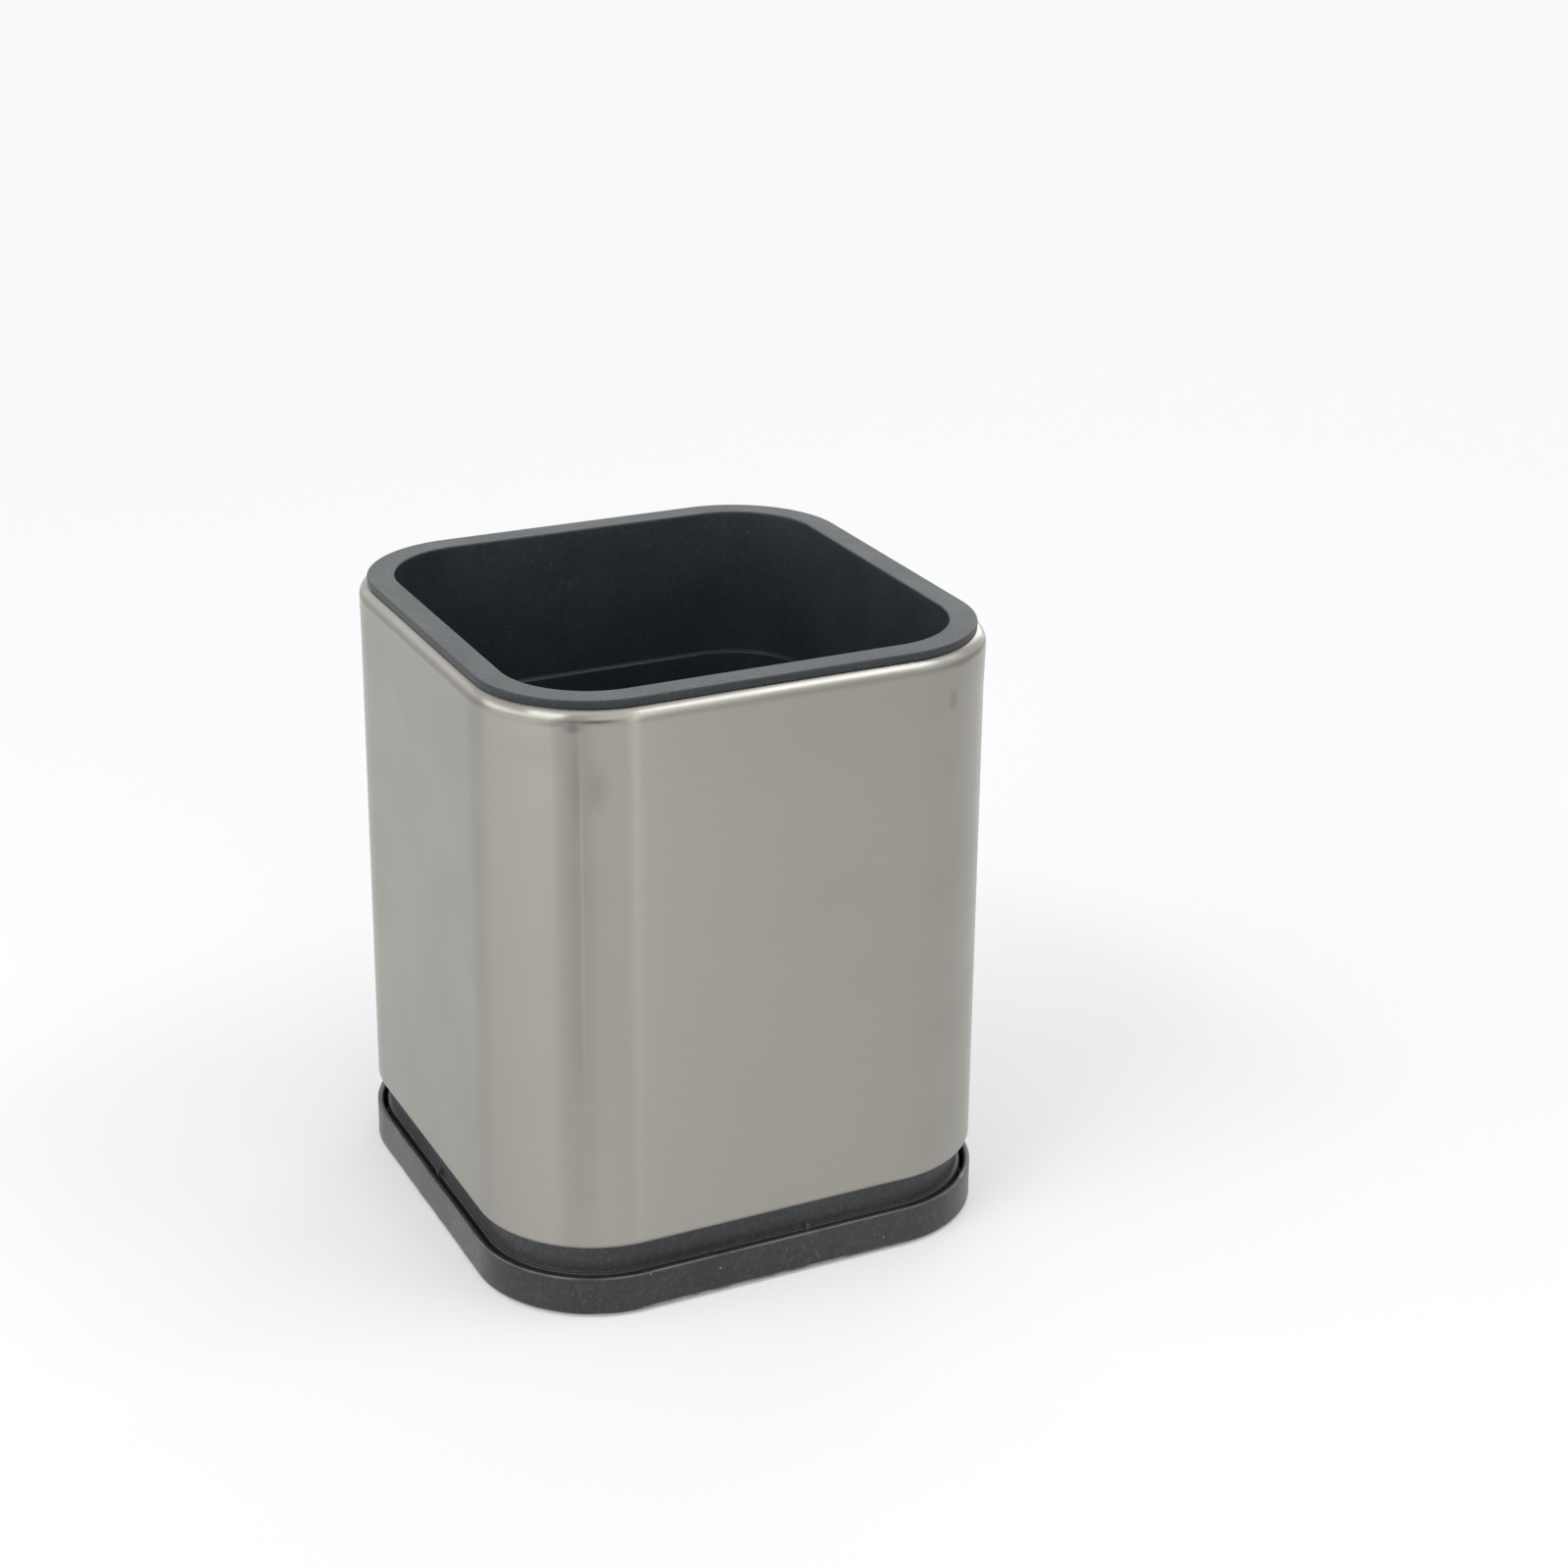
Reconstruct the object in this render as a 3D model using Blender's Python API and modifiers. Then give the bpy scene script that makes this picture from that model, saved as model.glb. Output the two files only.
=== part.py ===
# Countertop cutlery holder: a brushed steel sleeve on a moulded base, with a lift-out
# plastic liner and a drip tray on rubber feet.
# Metres, +Z up. The origin is on the worktop under the middle, and the front faces -Y.

import math

import bmesh
import bpy
from mathutils import Matrix, Vector

MM = 0.001

# Steel sleeve: a rounded square tube of sheet, rolled in at the top and turned in below
SLEEVE_WIDTH = 100.0 * MM
SLEEVE_CORNER_RADIUS = 23.4 * MM
SLEEVE_HEIGHT = 104.2 * MM
SHEET = 0.6 * MM
TOP_ROLL_RADIUS = 2.5 * MM
TOP_FLANGE = 2.0 * MM
BOTTOM_TURN_RADIUS = 1.2 * MM
BOTTOM_FLANGE = 2.7 * MM

# Liner: a drafted cup that hangs in the sleeve by its rim
LINER_WALL = 1.8 * MM
LINER_DRAFT = math.radians(1.0)
RIM_INSET = 1.45 * MM
RIM_THICKNESS = 1.1 * MM
RIM_EDGE = 0.35 * MM
LEDGE_BELOW_RIM = 29.7 * MM
LEDGE_WIDTH = 0.9 * MM
LEDGE_EDGE = 0.3 * MM
FLOOR_FILLET = 2.0 * MM
DRAIN_DIAMETER = 5.0 * MM
DRAIN_PITCH = 15.0 * MM
DRAIN_MARGIN = 4.5 * MM

# Base collar: the ring under the sleeve, clipped to its turned-in bottom edge
COLLAR_SETBACK = 2.3 * MM
COLLAR_WALL = 1.6 * MM
COLLAR_BAND = 0.7 * MM
COLLAR_BAND_HEIGHT = 3.95 * MM
COLLAR_FOOT_WIDTH = 6.4 * MM
NECK_HEIGHT = 14.0 * MM
COLLAR_EDGE = 0.2 * MM
LUG_WIDTH = 10.0 * MM
LUG_SPACING = 34.0 * MM
LUG_HEIGHT = 2.6 * MM
LUG_CATCH = 0.5 * MM
RIB_WIDTH = 0.6 * MM
RIB_TOP = 5.0 * MM
RIB_BOTTOM = 1.4 * MM
RIB_OFFSET = 6.8 * MM

# Drip tray: a shallow pan that stands a little proud of the sleeve
TRAY_OVERHANG = 0.43 * MM
TRAY_HEIGHT = 7.58 * MM
TRAY_LIP = 1.2 * MM
TRAY_SKIRT = 1.6 * MM
TRAY_RECESS = 1.6 * MM
TRAY_FLOOR = 1.5 * MM
TRAY_FILLET = 0.7 * MM
LIP_EDGE = 0.25 * MM
SKIRT_EDGE = 0.4 * MM

# Rubber feet, each in a round socket under the tray
FOOT_DIAMETER = 12.0 * MM
FOOT_PROUD = 0.5 * MM
FOOT_EDGE = 0.4 * MM
FOOT_INSET = 21.0 * MM
SOCKET_WALL = 1.2 * MM
SOCKET_DEPTH = 1.1 * MM

# Fits between the pieces
SEAT_GAP = 0.3 * MM
SLIDE_FIT = 0.35 * MM
CLIP_FIT = 0.3 * MM
REVEAL = 5.56 * MM
DRIP_SPACE = 7.1 * MM

# Facets
CORNER_STEPS = 10
ROUND_STEPS = 24
DRAIN_STEPS = 12
ARC_CHORD = 0.45 * MM
OVERCUT = 1.0 * MM
MERGE = 0.001 * MM

# Heights above the worktop, from the tray up
TRAY_BOTTOM = FOOT_PROUD
TRAY_FLOOR_TOP = TRAY_BOTTOM + TRAY_RECESS + TRAY_FLOOR
TRAY_TOP = TRAY_BOTTOM + TRAY_HEIGHT
COLLAR_BOTTOM = TRAY_FLOOR_TOP + SEAT_GAP
SLEEVE_BOTTOM = TRAY_TOP + REVEAL
SLEEVE_TOP = SLEEVE_BOTTOM + SLEEVE_HEIGHT
RIM_SEAT = SLEEVE_TOP + SEAT_GAP
LINER_BOTTOM = TRAY_FLOOR_TOP + DRIP_SPACE

CORNER_CENTRE = SLEEVE_WIDTH / 2 - SLEEVE_CORNER_RADIUS

# Distances in from the sleeve's face, from the sleeve inwards
TOP_FLANGE_INSET = TOP_ROLL_RADIUS + TOP_FLANGE
LINER_INSET = TOP_FLANGE_INSET + SLIDE_FIT
OPENING_INSET = LINER_INSET + LINER_WALL
BOTTOM_FLANGE_INSET = BOTTOM_TURN_RADIUS + BOTTOM_FLANGE
NECK_INSET = BOTTOM_FLANGE_INSET + CLIP_FIT

STEEL = ("brushed steel", (0.56, 0.55, 0.52), 0.32, 1.0)
LINER_GREY = ("dark grey liner plastic", (0.045, 0.050, 0.056), 0.42, 0.0)
BASE_GREY = ("charcoal base plastic", (0.050, 0.052, 0.055), 0.38, 0.0)
FOOT_BLACK = ("black foot rubber", (0.012, 0.012, 0.012), 0.75, 0.0)


def rounded(corners, closed=False):
    """The profile through (inset, z, radius) corners, each turned on an arc of its radius."""
    points = []
    last = len(corners) - 1
    for index, (inset, z, radius) in enumerate(corners):
        here = Vector((inset, z))
        if radius == 0 or (not closed and index in (0, last)):
            points.append(here)
            continue
        back = (Vector(corners[index - 1][:2]) - here).normalized()
        on = (Vector(corners[(index + 1) % len(corners)][:2]) - here).normalized()
        half_angle = back.angle(on) / 2
        centre = here + (back + on).normalized() * radius / math.sin(half_angle)
        start = here + back * radius / math.tan(half_angle) - centre
        end = here + on * radius / math.tan(half_angle) - centre
        turn = -start.angle_signed(end)
        steps = max(2, math.ceil(radius / ARC_CHORD))
        for step in range(steps + 1):
            points.append(centre + Matrix.Rotation(turn * step / steps, 2) @ start)
    return points


def rounded_square(inset, z):
    """A flat face with the holder's outline, set in from the sleeve's face. Returns its bmesh."""
    mesh = bmesh.new()
    bmesh.ops.create_grid(mesh, x_segments=1, y_segments=1, size=SLEEVE_WIDTH / 2 - inset,
                          matrix=Matrix.Translation((0, 0, z)))
    bmesh.ops.bevel(mesh, geom=mesh.verts[:], offset=SLEEVE_CORNER_RADIUS - inset,
                    segments=CORNER_STEPS, profile=0.5, affect="VERTICES")
    return mesh


def next_ring(mesh, ring, inset, z):
    """Extrudes a loop of edges to another inset and height. Each point keeps its place round the corner."""
    made = bmesh.ops.extrude_edge_only(mesh, edges=ring)["geom"]
    corners = {item for item in made if isinstance(item, bmesh.types.BMVert)}
    for vertex in corners:
        middle = Vector([math.copysign(CORNER_CENTRE, way) for way in vertex.co.xy])
        spoke = (vertex.co.xy - middle).normalized()
        vertex.co.xy = middle + spoke * (SLEEVE_CORNER_RADIUS - inset)
        vertex.co.z = z
    return [item for item in made if isinstance(item, bmesh.types.BMEdge) and corners.issuperset(item.verts)]


def sweep(profile, closed=False, capped=False):
    """Carries a profile round the rounded square, as a lathe carries one round an axis.

    A closed profile meets its own start. A capped one keeps a flat face inside its first and last loops.
    """
    mesh = rounded_square(*profile[0])
    ring = mesh.edges[:]
    if not capped:
        bmesh.ops.delete(mesh, geom=mesh.faces[:], context="FACES_ONLY")
    for inset, z in profile[1:] + (profile[:1] if closed else []):
        ring = next_ring(mesh, ring, inset, z)
    if closed:
        bmesh.ops.remove_doubles(mesh, verts=mesh.verts, dist=MERGE)
    if capped:
        bmesh.ops.contextual_create(mesh, geom=ring)
    bmesh.ops.recalc_face_normals(mesh, faces=mesh.faces)
    return mesh


def material_of(finish):
    name, colour, roughness, metallic = finish
    material = bpy.data.materials.get(name)
    if material is None:
        material = bpy.data.materials.new(name)
        material.use_nodes = True
        shader = material.node_tree.nodes["Principled BSDF"]
        shader.inputs["Base Color"].default_value = (*colour, 1.0)
        shader.inputs["Roughness"].default_value = roughness
        shader.inputs["Metallic"].default_value = metallic
        material.diffuse_color = (*colour, 1.0)
    return material


def add_object(name, mesh, collection, location=(0, 0, 0), parent=None):
    """Turns a bmesh into an object, placed by its location under its parent."""
    data = bpy.data.meshes.new(name)
    mesh.to_mesh(data)
    mesh.free()
    made = bpy.data.objects.new(name, data)
    made.location = location
    made.parent = parent
    collection.objects.link(made)
    return made


def add_part(name, mesh, finish, location, parent):
    part = add_object(name, mesh, parts_collection, location, parent)
    part.data.materials.append(material_of(finish))
    part.data.shade_smooth()
    part.data.set_sharp_from_angle(angle=math.radians(35))
    return part


def shape_with(part, name, mesh, operation):
    """Cuts the mesh from the part, or joins it on. The mesh is in the part's own coordinates."""
    helper = add_object(name, mesh, cutter_collection, parent=part)
    helper.hide_render = True
    helper.display_type = "WIRE"
    boolean = part.modifiers.new(name, "BOOLEAN")
    boolean.operation = operation
    boolean.solver = "EXACT"
    boolean.object = helper


def add_empty(name, location, parent):
    empty = bpy.data.objects.new(name, None)
    empty.empty_display_size = 20 * MM
    empty.location = location
    empty.parent = parent
    parts_collection.objects.link(empty)
    return empty


def add_box(mesh, low, high):
    """A box between two corners, and its vertices."""
    low, high = Vector(low), Vector(high)
    place = Matrix.Translation((low + high) / 2) @ Matrix.Diagonal((*(high - low), 1))
    return bmesh.ops.create_cube(mesh, size=1, matrix=place)["verts"]


def add_disc(mesh, centre, radius, low, high, steps=ROUND_STEPS):
    """An upright cylinder between two heights."""
    middle = Matrix.Translation((*centre, (low + high) / 2))
    bmesh.ops.create_cone(mesh, cap_ends=True, segments=steps, radius1=radius, radius2=radius,
                          depth=high - low, matrix=middle)


def quarter_turns(turns):
    return Matrix.Rotation(turns * math.pi / 2, 4, "Z")


# Steel sleeve

def make_sleeve(parent):
    """Sheet that turns in under the bottom edge, runs up the face and rolls in over the top."""
    profile = rounded([
        (BOTTOM_FLANGE_INSET, 0, 0),
        (0, 0, BOTTOM_TURN_RADIUS),
        (0, SLEEVE_HEIGHT, TOP_ROLL_RADIUS),
        (TOP_FLANGE_INSET, SLEEVE_HEIGHT, 0),
    ])
    location = (0, 0, SLEEVE_BOTTOM - COLLAR_BOTTOM)
    sleeve = add_part("steel_sleeve", sweep(profile), STEEL, location, parent)
    sheet = sleeve.modifiers.new("sheet", "SOLIDIFY")
    sheet.thickness = SHEET
    sheet.offset = -1
    sheet.use_even_offset = True
    return sleeve


# Liner

def liner_wall_inset(drop):
    """How far in the cup's inner wall is at this drop below the rim's top."""
    below_ledge = LEDGE_WIDTH if drop > LEDGE_BELOW_RIM else 0
    return OPENING_INSET + drop * math.tan(LINER_DRAFT) + below_ledge


def make_liner(parent):
    """The cup's inside from the floor up, over the rim and down its outside. Its z is 0 at the rim's seat."""
    floor_bottom = LINER_BOTTOM - RIM_SEAT
    floor_top = floor_bottom + LINER_WALL
    floor_drop = RIM_THICKNESS - floor_top
    ledge = RIM_THICKNESS - LEDGE_BELOW_RIM
    floor_inset = liner_wall_inset(floor_drop)
    above_ledge = liner_wall_inset(LEDGE_BELOW_RIM)
    below_ledge = above_ledge + LEDGE_WIDTH
    flat_floor_inset = floor_inset + 2 * FLOOR_FILLET
    profile = rounded([
        (flat_floor_inset, floor_top, 0),
        (floor_inset, floor_top, FLOOR_FILLET),
        (below_ledge, ledge, LEDGE_EDGE),
        (above_ledge, ledge, 0),
        (OPENING_INSET, RIM_THICKNESS, RIM_EDGE),
        (RIM_INSET, RIM_THICKNESS, RIM_EDGE),
        (RIM_INSET, 0, 0),
        (LINER_INSET, 0, 0),
        (above_ledge - LINER_WALL, ledge - LINER_WALL + LEDGE_WIDTH, 0),
        (below_ledge - LINER_WALL, ledge - LINER_WALL, 0),
        (floor_inset - LINER_WALL, floor_bottom, FLOOR_FILLET + LINER_WALL),
        (flat_floor_inset, floor_bottom, 0),
    ])
    liner = add_part("liner", sweep(profile, capped=True), LINER_GREY, (0, 0, 0), parent)
    shape_with(liner, "drain_holes", drain_cutters(floor_inset, floor_bottom, floor_top), "DIFFERENCE")
    return liner


def drain_cutters(floor_inset, low, high):
    """A square grid of round holes over the liner's flat floor."""
    reach = SLEEVE_WIDTH / 2 - floor_inset - FLOOR_FILLET - DRAIN_MARGIN
    each_way = int(reach // DRAIN_PITCH)
    holes = bmesh.new()
    for column in range(-each_way, each_way + 1):
        for row in range(-each_way, each_way + 1):
            centre = (column * DRAIN_PITCH, row * DRAIN_PITCH)
            add_disc(holes, centre, DRAIN_DIAMETER / 2, low - OVERCUT, high + OVERCUT, DRAIN_STEPS)
    return holes


# Base collar

def make_collar(parent):
    """A ring whose shoulder carries the sleeve's bottom edge, with a neck that reaches up inside it."""
    shoulder = SLEEVE_BOTTOM - SEAT_GAP - COLLAR_BOTTOM
    band_inset = COLLAR_SETBACK - COLLAR_BAND
    neck_top = shoulder + NECK_HEIGHT
    profile = rounded([
        (band_inset, 0, COLLAR_EDGE),
        (band_inset, COLLAR_BAND_HEIGHT, COLLAR_EDGE),
        (COLLAR_SETBACK, COLLAR_BAND_HEIGHT, 0),
        (COLLAR_SETBACK, shoulder, COLLAR_EDGE),
        (NECK_INSET, shoulder, 0),
        (NECK_INSET, neck_top, COLLAR_EDGE),
        (NECK_INSET + COLLAR_WALL, neck_top, COLLAR_EDGE),
        (NECK_INSET + COLLAR_WALL, shoulder - COLLAR_WALL, 0),
        (COLLAR_SETBACK + COLLAR_WALL, shoulder - COLLAR_WALL, 0),
        (COLLAR_SETBACK + COLLAR_WALL, COLLAR_WALL, 0),
        (band_inset + COLLAR_FOOT_WIDTH, COLLAR_WALL, COLLAR_EDGE),
        (band_inset + COLLAR_FOOT_WIDTH, 0, COLLAR_EDGE),
    ], closed=True)
    collar = add_part("base_collar", sweep(profile, closed=True), BASE_GREY, (0, 0, 0), parent)
    shape_with(collar, "snap_lugs", snap_lugs(shoulder), "UNION")
    shape_with(collar, "centring_ribs", centring_ribs(), "UNION")
    return collar


def snap_lugs(shoulder):
    """Two wedges on each side of the neck that hook over the sleeve's turned-in bottom edge."""
    under = shoulder + SEAT_GAP + SHEET + SEAT_GAP
    root = -SLEEVE_WIDTH / 2 + NECK_INSET + COLLAR_WALL / 2
    catch = -SLEEVE_WIDTH / 2 + BOTTOM_FLANGE_INSET - LUG_CATCH
    slope_end = -SLEEVE_WIDTH / 2 + NECK_INSET
    lugs = bmesh.new()
    for side in range(4):
        for middle in (-LUG_SPACING / 2, LUG_SPACING / 2):
            low = (middle - LUG_WIDTH / 2, catch, under)
            high = (middle + LUG_WIDTH / 2, root, under + LUG_HEIGHT)
            wedge = add_box(lugs, low, high)
            for vertex in wedge:
                if vertex.co.z > under + LUG_HEIGHT / 2 and vertex.co.y < slope_end:
                    vertex.co.y = slope_end
            bmesh.ops.transform(lugs, matrix=quarter_turns(side), verts=wedge)
    return lugs


def centring_ribs():
    """One thin upright rib on each side of the collar that keeps it centred in the tray's lip."""
    root = -SLEEVE_WIDTH / 2 + COLLAR_SETBACK + COLLAR_WALL / 2
    lip_inside = -SLEEVE_WIDTH / 2 - TRAY_OVERHANG + TRAY_LIP
    ribs = bmesh.new()
    for side, offset in enumerate((RIB_OFFSET, 0, RIB_OFFSET, 0)):
        low = (offset - RIB_WIDTH / 2, lip_inside + SEAT_GAP, RIB_BOTTOM)
        high = (offset + RIB_WIDTH / 2, root, RIB_TOP)
        bmesh.ops.transform(ribs, matrix=quarter_turns(side), verts=add_box(ribs, low, high))
    return ribs


# Drip tray and feet

def foot_centres():
    """The feet's places, by name."""
    reach = SLEEVE_WIDTH / 2 - FOOT_INSET
    return {
        "foot_front_left": (-reach, -reach),
        "foot_front_right": (reach, -reach),
        "foot_back_left": (-reach, reach),
        "foot_back_right": (reach, reach),
    }


def make_tray(parent):
    """The pan's floor and lip, down the skirt and in under the floor, with a socket for each foot."""
    floor_top = TRAY_RECESS + TRAY_FLOOR
    well_inset = TRAY_LIP - TRAY_OVERHANG
    under_inset = TRAY_SKIRT - TRAY_OVERHANG
    profile = rounded([
        (well_inset + 2 * TRAY_FILLET, floor_top, 0),
        (well_inset, floor_top, TRAY_FILLET),
        (well_inset, TRAY_HEIGHT, LIP_EDGE),
        (-TRAY_OVERHANG, TRAY_HEIGHT, LIP_EDGE),
        (-TRAY_OVERHANG, 0, SKIRT_EDGE),
        (under_inset, 0, SKIRT_EDGE),
        (under_inset, TRAY_RECESS, 0),
    ])
    location = (0, 0, TRAY_BOTTOM)
    tray = add_part("drip_tray", sweep(profile, capped=True), BASE_GREY, location, parent)
    pocket = FOOT_DIAMETER / 2 + SEAT_GAP
    bosses = bmesh.new()
    pockets = bmesh.new()
    for centre in foot_centres().values():
        add_disc(bosses, centre, pocket + SOCKET_WALL, TRAY_RECESS - SOCKET_DEPTH, floor_top - TRAY_FLOOR / 2)
        add_disc(pockets, centre, pocket, -OVERCUT, TRAY_RECESS)
    shape_with(tray, "foot_bosses", bosses, "UNION")
    shape_with(tray, "foot_pockets", pockets, "DIFFERENCE")
    return tray


def make_foot(name, centre, parent):
    """A rubber disc from its socket down to the worktop."""
    height = TRAY_BOTTOM + TRAY_RECESS - SEAT_GAP
    disc = bmesh.new()
    add_disc(disc, (0, 0), FOOT_DIAMETER / 2, 0, height)
    lower_rim = [edge for edge in disc.edges if all(vertex.co.z < height / 2 for vertex in edge.verts)]
    bmesh.ops.bevel(disc, geom=lower_rim, offset=FOOT_EDGE, segments=2, profile=0.5, affect="EDGES")
    return add_part(name, disc, FOOT_BLACK, (*centre, 0), parent)


# Assembly: the liner lifts out of the holder, and the holder lifts off the tray

for leftover in list(bpy.data.objects):
    bpy.data.objects.remove(leftover, do_unlink=True)

parts_collection = bpy.data.collections.new("cutlery_holder")
cutter_collection = bpy.data.collections.new("cutters")
cutter_collection.hide_render = True
for collection in (parts_collection, cutter_collection):
    bpy.context.scene.collection.children.link(collection)

tray_base = add_empty("tray_base", (0, 0, 0), None)
holder_lift = add_empty("holder_lift", (0, 0, COLLAR_BOTTOM), tray_base)
liner_lift = add_empty("liner_lift", (0, 0, RIM_SEAT - COLLAR_BOTTOM), holder_lift)

make_tray(tray_base)
for foot_name, foot_centre in foot_centres().items():
    make_foot(foot_name, foot_centre, tray_base)
make_collar(holder_lift)
make_sleeve(holder_lift)
make_liner(liner_lift)
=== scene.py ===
# Rounded square countertop holder in brushed steel and charcoal plastic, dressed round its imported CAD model.
import math

import bmesh
import bpy
from mathutils import Matrix, Vector


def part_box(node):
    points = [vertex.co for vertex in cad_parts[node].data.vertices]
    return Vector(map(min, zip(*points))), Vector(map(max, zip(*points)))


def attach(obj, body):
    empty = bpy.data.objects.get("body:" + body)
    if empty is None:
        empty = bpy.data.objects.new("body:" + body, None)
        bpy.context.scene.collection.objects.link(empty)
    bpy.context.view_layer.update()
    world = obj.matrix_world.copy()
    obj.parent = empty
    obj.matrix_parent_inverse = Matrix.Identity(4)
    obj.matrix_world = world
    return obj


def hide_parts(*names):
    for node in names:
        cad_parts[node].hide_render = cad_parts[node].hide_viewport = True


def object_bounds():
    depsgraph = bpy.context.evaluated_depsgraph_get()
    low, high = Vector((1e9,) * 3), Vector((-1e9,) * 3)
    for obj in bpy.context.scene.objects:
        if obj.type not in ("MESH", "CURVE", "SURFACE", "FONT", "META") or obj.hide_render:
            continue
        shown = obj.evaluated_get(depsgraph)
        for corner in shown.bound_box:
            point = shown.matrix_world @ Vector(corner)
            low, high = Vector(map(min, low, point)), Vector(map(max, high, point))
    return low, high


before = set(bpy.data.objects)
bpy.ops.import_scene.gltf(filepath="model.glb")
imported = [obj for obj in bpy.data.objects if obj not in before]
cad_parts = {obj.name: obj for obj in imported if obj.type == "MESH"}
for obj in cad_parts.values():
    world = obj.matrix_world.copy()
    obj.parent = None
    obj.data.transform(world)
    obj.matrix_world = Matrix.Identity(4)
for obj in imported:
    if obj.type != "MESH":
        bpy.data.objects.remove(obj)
cadLow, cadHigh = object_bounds()
mm = 0.001
sleeveLow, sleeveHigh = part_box("steel_sleeve")
collarLow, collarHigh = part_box("base_collar")
trayLow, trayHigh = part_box("drip_tray")
linerLow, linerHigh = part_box("liner")
halfWidth = sleeveHigh.x
cornerRadius = 23.4 * mm
cornerCentre = halfWidth - cornerRadius
print("frame loaded, sleeve", [round(side / mm, 2) for side in sleeveHigh - sleeveLow], "mm")


# Shared mesh work: a profile is drawn on the +X side as (inset from the steel's face, height, radius)

meshSet = {
    "sideSteps": 6,
    "cornerSteps": 28,
    "arcSegments": 6,
    # a rounding no larger than smallRadius gets fewer segments
    "smallRadius": 0.5 * mm,
    "smallSegments": 3,
    # a flat longer than longFlat gets a supporting row this far from each of its ends
    "longFlat": 1.6 * mm,
    "supportRow": 0.35 * mm,
    # where the middle of a small softened edge lies, as a share of its size
    "edgeMiddle": 0.3,
    "mergeWithin": 0.002 * mm,
    "sameHeight": 0.01 * mm,
    # in degrees
    "sharpAngle": 38,
}


def drawProfile(corners, closed=False, arcSegments=meshSet["arcSegments"]):
    bm = bmesh.new()
    made = [bm.verts.new((halfWidth - inset, 0, z)) for inset, z, radius in corners]
    for here, after in zip(made, made[1:] + made[:1] if closed else made[1:]):
        bm.edges.new((here, after))
    for vert, (inset, z, radius) in zip(made, corners):
        if radius:
            before, after = [(edge.other_vert(vert).co - vert.co).normalized() for edge in vert.link_edges]
            cut = radius / math.tan(before.angle(after) / 2)
            segments = arcSegments if radius > meshSet["smallRadius"] else meshSet["smallSegments"]
            bmesh.ops.bevel(bm, geom=[vert], affect="VERTICES", offset=cut, offset_type="OFFSET",
                            segments=segments, profile=0.5, material=-1)
    # the supporting rows keep shading and wear close to the edges
    for edge in [edge for edge in bm.edges if edge.calc_length() > meshSet["longFlat"]]:
        start, end = edge.verts
        row = bmesh.utils.edge_split(edge, start, meshSet["supportRow"] / edge.calc_length())[1]
        rest = bm.edges.get((row, end))
        bmesh.utils.edge_split(rest, end, meshSet["supportRow"] / rest.calc_length())
    return bm


def newVerts(geom):
    return [item for item in geom if isinstance(item, bmesh.types.BMVert)]


def newEdges(geom, verts):
    known = set(verts)
    return [item for item in geom if isinstance(item, bmesh.types.BMEdge) and known.issuperset(item.verts)]


def carryRound(bm, cornerSteps=meshSet["cornerSteps"]):
    # along half a side, round one corner, along the next half side, then the same for the other three
    edges = bm.edges[:]
    sideSteps = meshSet["sideSteps"]
    for way in (Vector((0, 1, 0)), Vector((-1, 0, 0))):
        for step in range(sideSteps):
            made = bmesh.ops.extrude_edge_only(bm, edges=edges)["geom"]
            verts = newVerts(made)
            bmesh.ops.translate(bm, verts=verts, vec=way * cornerCentre / sideSteps)
            edges = newEdges(made, verts)
        if way.y:
            made = bmesh.ops.spin(bm, geom=verts + edges, cent=(cornerCentre, cornerCentre, 0),
                                  axis=(0, 0, 1), angle=math.pi / 2, steps=cornerSteps)["geom_last"]
            verts = newVerts(made)
            edges = newEdges(made, verts)
    bmesh.ops.spin(bm, geom=bm.verts[:] + bm.edges[:] + bm.faces[:], cent=(0, 0, 0), axis=(0, 0, 1),
                   angle=1.5 * math.pi, steps=3, use_duplicate=True)
    bmesh.ops.remove_doubles(bm, verts=bm.verts, dist=meshSet["mergeWithin"])
    bmesh.ops.recalc_face_normals(bm, faces=bm.faces)
    return bm


def openLoops(bm, height):
    return [edge for edge in bm.edges if edge.is_boundary
            and all(abs(vert.co.z - height) < meshSet["sameHeight"] for vert in edge.verts)]


def spinProfile(bm, corners, centre, steps, closed=False):
    # a small profile of (radius, height) spun a full turn about its own upright axis
    verts = [bm.verts.new((centre[0] + radius, centre[1], z)) for radius, z in corners]
    edges = [bm.edges.new(pair) for pair in zip(verts, verts[1:] + verts[:1] if closed else verts[1:])]
    bmesh.ops.spin(bm, geom=verts + edges, cent=(*centre, 0), axis=(0, 0, 1), angle=2 * math.pi,
                   steps=steps, use_merge=True)


def addBlock(bm, low, high, edge=0):
    # a block between two corners, with softened edges where edge is given
    low, high = Vector(low), Vector(high)
    place = Matrix.Translation((low + high) / 2) @ Matrix.Diagonal((*(high - low), 1))
    verts = bmesh.ops.create_cube(bm, size=1, matrix=place)["verts"]
    if edge:
        edges = list(dict.fromkeys(item for vert in verts for item in vert.link_edges))
        verts = bmesh.ops.bevel(bm, geom=edges, affect="EDGES", offset=edge, offset_type="OFFSET",
                                segments=2, profile=0.5, material=-1)["verts"]
    return verts


def finishPiece(name, bm, body, nodes, material):
    mesh = bpy.data.meshes.new(name)
    bm.to_mesh(mesh)
    bm.free()
    mesh.shade_smooth()
    mesh.set_sharp_from_angle(angle=math.radians(meshSet["sharpAngle"]))
    piece = bpy.data.objects.new(name, mesh)
    bpy.context.scene.collection.objects.link(piece)
    mesh.materials.append(material)
    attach(piece, body)
    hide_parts(*nodes)
    print("made", name, len(mesh.polygons), "faces")


# Shared node work

def setInput(tree, socket, value):
    if isinstance(value, bpy.types.NodeSocket):
        tree.links.new(value, socket)
    else:
        socket.default_value = value


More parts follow.
